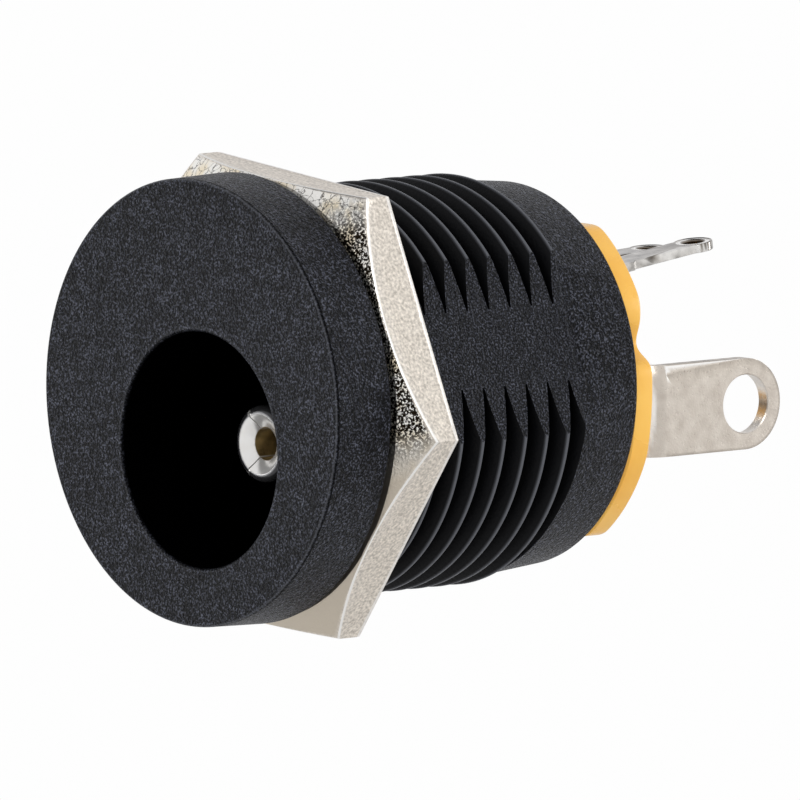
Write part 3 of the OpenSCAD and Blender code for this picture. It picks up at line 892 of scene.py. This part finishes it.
def shaft():
    """The solid part of the pin, turned from a section that starts and ends on the axis."""
    start, collar_y, foot_y = PIN_TIP + PIN_DEPTH, PLUG_FRONT - COLLAR_T, REAR + LUG_T
    section = np.array([
        (0, start - 0.01), (PIN_R - 0.002, start - 0.01), (PIN_R, start), (PIN_R, collar_y),
        (COLLAR_R - 0.06, collar_y), (COLLAR_R, collar_y + 0.06), (COLLAR_R, PLUG_FRONT),
        (SHANK_R, PLUG_FRONT), (SHANK_R, foot_y), (RIVET_R - 0.03, foot_y), (RIVET_R, foot_y + 0.04),
        (RIVET_R - 0.03, foot_y + 0.26), (RIVET_R - 0.18, foot_y + 0.42),
        (RIVET_R - 0.4, foot_y + RIVET_H), (0, foot_y + RIVET_H)])
    angle = np.linspace(0, 2 * np.pi, 96, endpoint=False)[None, :]
    return sheet(ring(section[:, 0, None], angle, section[:, 1, None], -SOCKET_DROP), wrap=True)


pin_parts, pin_marks = [shaft()], [0.0]
for third in range(3):
    more, more_marks = finger(SLIT_AT + third * 2 * math.pi / 3)
    pin_parts += more
    pin_marks += more_marks
pin = piece("pin_turned", pin_parts, PIN_NICKEL, sharp=35, marks=pin_marks)
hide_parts("centre_pin")
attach(pin, "jack")

# %% [markdown]
# ## Solder lug
# The lug is stamped from strip and bent square. Stamping rolls one edge of the face over: the
# band is widest at the bend and fades towards the hole. The lug's two faces are fans of rows
# between the hole and the outline; the columns that reach the root continue round the bend.

# %% Lug faces, bend and foot
LUG_W, LUG_X = 2.5, 4.45  # width, and distance of the outer face from the socket's axis
LUG_RISE = 0.5  # the plate's middle line lies this far above the foot's
LUG_BEND_R = 0.3  # inside of the bend
LUG_EYE, LUG_HOLE_R, HOLE_FLARE = REAR + 3.6, 0.8, 0.035  # the hole is wider at its inner end
ROLL_W, ROLL_DROP = 0.27, 0.13
BEND_X, BEND_Y = LUG_X - LUG_T - LUG_BEND_R, REAR + LUG_T + LUG_BEND_R
ROOT_LEN = LUG_EYE - BEND_Y
HALF = LUG_W / 2


def roll_line(y):
    """Height over the lug's middle line at which the rolled edge starts."""
    share = np.clip(1 - (y - BEND_Y) / (ROOT_LEN - 0.15), 0, 1)
    return HALF - ROLL_W * share


def roll_drop(v, y):
    """Depth of the rolled edge below the face: it grows in proportion from the line outwards."""
    return ROLL_DROP * np.clip((v - roll_line(y)) / ROLL_W, 0, 1)


def lug_plan():
    """Outline of the standing plate from the root's lower corner round the eye and back, and the
    points across its root."""
    share, swing = np.linspace(0, 1, 14, endpoint=False), np.linspace(-np.pi / 2, np.pi / 2, 49)
    low = xyz(BEND_Y + ROOT_LEN * share, -HALF)
    eye = xyz(LUG_EYE + HALF * np.cos(swing), HALF * np.sin(swing))
    root_v = np.concatenate([np.linspace(-HALF, HALF - ROLL_W, 12), [HALF - ROLL_W / 2, HALF]])
    return np.concatenate([low, eye, low[::-1] * [1, -1]]), xyz(BEND_Y, root_v)


def plate_face(points, x):
    """Points of the plate from their y and height; x is measured from its outer face inwards."""
    return xyz(LUG_X - x, points[:, 0], LUG_RISE + points[:, 1])


def foot_parts(root):
    """The foot: a disc about the pin joined to the bend, as two lids and the wall between them."""
    swing = np.linspace(0.5 * np.pi, 2 * np.pi - math.asin((HALF - LUG_RISE) / HALF), 40)
    foot = np.concatenate([[[0.0, HALF + LUG_RISE]], HALF * xyz(np.cos(swing), np.sin(swing)),
                           xyz(BEND_X, LUG_RISE + root[:, 1])])
    faces = [xyz(foot[:, 0], y, foot[:, 1]) for y in (REAR, REAR + LUG_T)]
    border = np.r_[len(foot) - 1, np.arange(len(foot) - len(root) + 1)]
    return [lid(faces[0]), lid(faces[1]), sheet(np.stack([face[border] for face in faces]))]


def lug_parts():
    """The plate as rows between hole and outline, the hole's wall, the bend and the foot.

    A row is the eye's middle plus a share of the way to the outline; the crease is the share at
    which the way crosses the roll's line. The bend's points lie at a radius about its own axis."""
    rim, root = lug_plan()
    plan = np.concatenate([rim, root[-2:0:-1]])
    middle = np.array([LUG_EYE, 0.0])
    way = plan - middle
    hole = way / np.linalg.norm(way, axis=1)[:, None]
    crease = np.full(len(plan), 0.93)
    high = plan[:, 1] > HALF - ROLL_W - 1e-6
    for _ in range(5):
        line = roll_line(LUG_EYE + crease * way[:, 0])
        crease[high] = (line / plan[:, 1].clip(0.5))[high].clip(0, 0.995)
    crease = crease[:, None]
    rows = [middle + hole * (LUG_HOLE_R + 0.03), middle + way * crease,
            middle + way * (0.2 * crease + 0.8), plan]
    rows.insert(1, rows[0] * 0.5 + rows[1] * 0.5)
    outer = [plate_face(points, roll_drop(points[:, 1], points[:, 0])) for points in rows]
    bore, flare = middle + hole * LUG_HOLE_R, middle + hole * (LUG_HOLE_R + HOLE_FLARE)
    wall = [(bore, 0.03), (bore, 0.2), (flare, 0.24), (flare, LUG_T), (plan, LUG_T)]
    loops = outer[::-1] + [plate_face(points, x) for points, x in wall]
    parts = [sheet(np.stack(loops), wrap=True),
             sheet(np.stack([outer[-1][:len(rim)], plate_face(rim, LUG_T)]))]
    bend = np.linspace(0, np.pi / 2, 13)[:, None]
    drop = roll_drop(root[None, :, 1], BEND_Y) * np.cos(bend) ** 0.5
    bent = [xyz(BEND_X + radius * np.cos(bend), BEND_Y - radius * np.sin(bend), LUG_RISE + root[:, 1])
            for radius in (LUG_BEND_R + LUG_T - drop, LUG_BEND_R)]
    parts += [sheet(bent[0]), sheet(bent[1])]
    parts += [sheet(np.stack([bent[0][:, c], bent[1][:, c]])) for c in (0, -1)]
    parts += foot_parts(root)
    # Marks paint light and shade: a painted dark line round the cut edge, a painted highlight on the
    # rolled edge with painted shade under it, painted shade on the hole's wall, darkest at the sides,
    # and a painted highlight round the bend.
    shade = np.zeros((len(loops), len(plan)))
    cut = np.arange(len(plan)) < len(rim)
    shade[0], shade[1], shade[2] = 0.6 * cut, np.where(high, -0.6, 0.35 * cut), 0.3 * high
    shade[len(outer):] = np.clip(1 - np.abs(hole[:, 1] + 0.1) / 0.4, 0, 1) * 0.9 - 0.2
    bow = 0.35 * np.sin(np.linspace(0, np.pi, len(root)))[None, :]
    shine = -0.5 * np.clip((bend - 0.75 + bow) * 8, 0, 1)
    marks = [shade.ravel(), 0.5, shine.ravel()] + [0.0] * (len(parts) - 3)
    return [(turned(points), faces) for points, faces in parts], marks


def soften(obj, width, segments=2, angle=35):
    """Break the sharp edges with a narrow bevel."""
    bevel = obj.modifiers.new("edges", "BEVEL")
    bevel.width = width * MM
    bevel.segments = segments
    bevel.limit_method = "ANGLE"
    bevel.angle_limit = math.radians(angle)
    bevel.harden_normals = True
    bevel.use_clamp_overlap = True


lug_sheets, lug_marks = lug_parts()
lug = piece("lug_stamped", lug_sheets, LUG_NICKEL, sharp=30, marks=lug_marks)
soften(lug, 0.035)
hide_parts("centre_terminal")
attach(lug, "jack")

# %% [markdown]
# ## Spring tags
# Both tags are cut from thin spring strip. Each runs out of its slot, bends upwards a little,
# narrows at a shoulder and ends in a round eye. Inside, one goes on as the leaf that touches the
# plug, the other as the finger under it.

# %% Strips along a path
TAG_BEND, TAG_SHOULDER, TAG_EYE = REAR + 0.3, REAR + 2.2, REAR + 4.8
TAG_NECK = TAG_SHOULDER + 0.08  # the shoulder slopes over this last bit
HALF_NECK, HALF_EYE, EYE_R = 0.45, 0.55, 0.3
TOP = STRIP_T / 2
# Rows of the eye's plate round its hole: distance from the hole, height, mark. They make a
# shallow groove; the marks paint reflections on it: a dark outer ring, a bright ring inside it, and
# a dark rim and hole wall.
EYE_ROWS = ((0.2, TOP, 0.75), (0.15, TOP - 0.03, -0.6), (0.09, TOP, -1), (0.03, TOP - 0.02, 0.5),
            (0, TOP - 0.07, 1), (0, 0.03 - TOP, 1), (0.02, -TOP, 0.6))


def path_offsets(path, distance):
    """Points of a path moved sideways by distance, mitred where it bends.

    The move is the distance times the sum of both sides' normals over 1 plus their product."""
    path = np.asarray(path, dtype=float)
    step = np.diff(path, axis=0)
    step /= np.linalg.norm(step, axis=1)[:, None]
    left = xyz(-step[:, 1], step[:, 0])
    into, out = np.concatenate([left[:1], left]), np.concatenate([left, left[-1:]])
    return path + distance * (into + out) / (1 + np.sum(into * out, axis=1))[:, None]


def strip_parts(tag_x, rise, inner, widths):
    """A tag with its inner strip: a tube of four columns along the path, then the eye's plate.

    Past the bend the height grows in proportion to the way, at the angle rise in degrees. The
    eye's rows lie on rays from its middle: the hole's radius plus a distance."""
    rise = math.radians(rise)
    slope, normal = math.tan(rise), np.array([0, -math.sin(rise), math.cos(rise)])
    path = [*inner, (TAG_BEND - 0.02, TAG_Z),
            *((y, TAG_Z + (y - TAG_BEND) * slope) for y in (TAG_SHOULDER, TAG_NECK))]
    low, high = (path_offsets(path, side * STRIP_T / 2) for side in (-1, 1))
    x0, x1 = (np.append(x, tag_x + side * HALF_NECK) for x, side in zip(widths, (-1, 1)))
    corners = ((x0, high), (x1, high), (x1, low), (x0, low))
    rows = np.stack([xyz(x, *line.T) for x, line in corners], axis=1)
    join = math.acos(HALF_NECK / HALF_EYE)
    swing = np.linspace(-join, np.pi + join, 41)
    side_y = np.linspace(0, 1, 8)[:-1] * (TAG_EYE - HALF_EYE * math.sin(join) - TAG_NECK) + TAG_NECK
    side = xyz(HALF_NECK, side_y - TAG_EYE)
    eye = HALF_EYE * xyz(np.cos(swing), np.sin(swing))
    plan = np.concatenate([side, eye, side[::-1] * [-1, 1]])
    hole = plan / np.linalg.norm(plan, axis=1)[:, None]

    def plate(points, height):
        """Points of the bent plate, height over its middle plane."""
        y = points[:, 1] + TAG_EYE - 0.014 * np.clip(points[:, 1] / HALF_EYE, 0, 1)
        return xyz(points[:, 0] + tag_x, y, TAG_Z + (y - TAG_BEND) * slope) + normal * height

    loops = [plate(plan, TOP), *(plate(hole * (EYE_R + out), height) for out, height, _ in EYE_ROWS),
             plate(plan, -TOP)]
    loops[-1][[0, -1]] = rows[-1][[2, 3]]
    loops[0][[0, -1]] = rows[-1][[1, 0]]
    parts = [sheet(rows, wrap=True), lid(rows[0]), sheet(np.stack(loops), wrap=True),
             sheet(np.stack([loops[0], loops[-1]]))]
    # Painted reflections: a dark outline on the top face, the eye rows' marks, and a faint painted
    # highlight on the side walls.
    shade = np.repeat([0.9, *(mark for _, _, mark in EYE_ROWS), 0], len(plan))
    return [(turned(points), faces) for points, faces in parts], [0.0, 0.0, shade, -0.3]


def strip(name, *shape):
    """Make a tag from strip_parts and break its edges."""
    sheets, marks = strip_parts(*shape)
    made = piece(name, sheets, CONTACT_NICKEL, sharp=30, marks=marks)
    soften(made, 0.045, 3)
    return made


# %% Sleeve spring
# Inside, y and height of the leaf from its free tip over the contact, LEAF_LOW high, to the slot.
LEAF_LOW = 2.75 - 0.2 + STRIP_T / 2
LEAF_END = PLUG_FRONT - 0.4
LEAF_SLOPE = (TAG_Z - LEAF_LOW) / (LEAF_END - 2.4)
leaf_inner = [(1.0, LEAF_LOW + 0.6), (1.9, LEAF_LOW + 0.15), (2.1, LEAF_LOW + 0.05), (2.25, LEAF_LOW),
              (2.55, LEAF_LOW), (2.7, LEAF_LOW + 0.08), (2.9, LEAF_LOW + 0.5 * LEAF_SLOPE),
              (LEAF_END, TAG_Z), (PLUG_FRONT - 0.15, TAG_Z), (PLUG_FRONT - 0.05, TAG_Z)]
leaf_widths = (np.repeat([-0.325, 0.375], [9, 3]), np.full(12, 1.475))
sleeve = strip("sleeve_strip", TAG_X, 7.5, leaf_inner, leaf_widths)
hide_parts("sleeve_spring")
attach(sleeve, "jack")

# %% Switch contact
# Inside, the finger ends under the leaf and touches it.
finger_z = LEAF_LOW + 1.5 * LEAF_SLOPE - STRIP_T * 1.06 - 0.04
switch_inner = [(3.9, finger_z), (4.74, finger_z), (4.86, finger_z + 0.02), (PLUG_FRONT - 0.1, TAG_Z),
                (PLUG_FRONT, TAG_Z), (PLUG_FRONT + 0.1, TAG_Z)]
switch_widths = (np.full(8, -1.425), np.repeat([0.1, -0.525, -0.375], [2, 3, 3]))
switch = strip("switch_strip", -TAG_X, 3.5, switch_inner, switch_widths)
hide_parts("switch_contact")
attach(switch, "jack")

# %% [markdown]
# ## Studio
# The part hangs free, as it does in a panel. The world is white for the camera; for reflections
# it is a soft pale studio with three dark flags, above, below and behind the camera, so that
# polished metal shows light and dark. A card far below keeps the shadow. The view's own axes are
# given first, because the lights are placed by them.

# %% World
RIGHT = Vector((0.62856, 0.75554, -0.18459))
UP = Vector((0.20090, 0.07156, 0.97699))
BACK = Vector((0.75137, -0.65118, -0.10681))  # from the part to the camera
AIM = Vector((-1.11901, 6.45772, -0.29808)) * MM
FLAGS = (((0, 0, 1), 0.90), ((0, 0, -1), 0.93), (tuple(BACK), 0.99))
FLAG_BLUR = 0.02


def make_world():
    """White to the camera; elsewhere a straight ramp over height, darkened by the flags.

    A flag is a smooth step of the dot product of the direction looked at and the flag's own,
    from its reach less the blur to its reach plus the blur."""
    world = bpy.data.worlds.new("studio")
    bpy.context.scene.world = world
    world.use_nodes = True
    tree = world.node_tree
    tree.nodes.clear()
    place = node(tree, "TexCoord").outputs["Generated"]
    height = node(tree, "SeparateXYZ", {0: place}).outputs["Z"]
    sky = remap(tree, height, 0.0, 1.0, -1.0, 1.0)
    shade = mix(tree, sky, (0.85, 0.85, 0.85), (0.74, 0.74, 0.76))
    for direction, reach in FLAGS:
        dot = node(tree, "VectorMath", {0: place, 1: direction}, operation="DOT_PRODUCT")
        flag = node(tree, "MapRange", {
            "Value": dot.outputs["Value"], "From Min": reach - FLAG_BLUR,
            "From Max": reach + FLAG_BLUR},
            interpolation_type="SMOOTHSTEP")
        shade = mix(tree, flag.outputs["Result"], shade, (0.03, 0.03, 0.03))
    lit = node(tree, "Background", {"Color": shade, "Strength": 1.05})
    seen = node(tree, "Background", {"Color": (0.99, 0.99, 0.99, 1)})
    camera_ray = node(tree, "LightPath").outputs["Is Camera Ray"]
    both = node(tree, "MixShader", {
        0: camera_ray, 1: lit.outputs["Background"], 2: seen.outputs["Background"]})
    node(tree, "OutputWorld", {"Surface": both.outputs["Shader"]})
    return world


print("world:", make_world().name)

# %% Lights and card
LIGHT_DISTANCE = 0.14  # metres from the part, as the camera's DISTANCE below
CARD_X, CARD_Y, CARD_Z = (-0.055, 0.055), (-0.05, 0.06), -0.026


def area(name, direction, size, watts):
    """A square area light that faces the part from a direction given in the view's axes."""
    data = bpy.data.lights.new(name, "AREA")
    data.size = size
    data.energy = watts
    light = put(name, data)
    way = (RIGHT * direction[0] + UP * direction[1] + BACK * direction[2]).normalized()
    light.location = AIM + way * LIGHT_DISTANCE
    light.rotation_euler = way.to_track_quat("Z", "Y").to_euler()


area("key", (0.25, 0.50, 0.81), 0.03, 0.036)
area("left", (-0.98, -0.06, -0.14), 0.055, 0.04)
area("right", (0.90, 0.15, -0.25), 0.05, 0.035)

card_mesh = bpy.data.meshes.new("card")
card_corners = [(CARD_X[i], CARD_Y[j], CARD_Z) for i, j in ((0, 0), (1, 0), (1, 1), (0, 1))]
card_mesh.from_pydata(card_corners, [], [(0, 1, 2, 3)])
card = put("card", card_mesh)
card_white, card_tree, card_shader = material("card_white")
_, card_fibre = grain(card_tree, 900, detail=4.0, low=0.3, high=0.7)
card_tone = mix(card_tree, card_fibre, (0.86, 0.86, 0.86), (0.90, 0.90, 0.90))
feed(card_tree, card_shader, {"Base Color": card_tone, "Roughness": 0.8})
card_mesh.materials.append(card_white)
card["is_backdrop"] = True
print("lights:", [light.name for light in bpy.data.lights])

# %% [markdown]
# ## Camera
# A long lens looks at the thread's side from slightly below, with the socket towards the left.

# %% Camera and hand-over
DISTANCE = 0.6
VIEW_WIDTH = 21.79 * MM  # width of the view at the part's distance
SENSOR = 36
camera_data = bpy.data.cameras.new("camera")
camera_data.sensor_width = SENSOR
camera_data.lens = SENSOR * DISTANCE / VIEW_WIDTH
camera = put("camera", camera_data)
turn = Matrix((RIGHT, UP, BACK)).transposed().to_4x4()
camera.matrix_world = Matrix.Translation(AIM + BACK * DISTANCE) @ turn
bpy.context.scene.camera = camera
bpy.context.scene.view_settings.view_transform = "Standard"

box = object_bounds()


def plain(value):
    if isinstance(value, dict):
        return {key: plain(part) for key, part in value.items()}
    return [[float(number) for number in corner] for corner in value]


{"frame": plain(cad_box), "dressed": plain(box)}
print("frame:", plain(cad_box), "dressed:", plain(box))
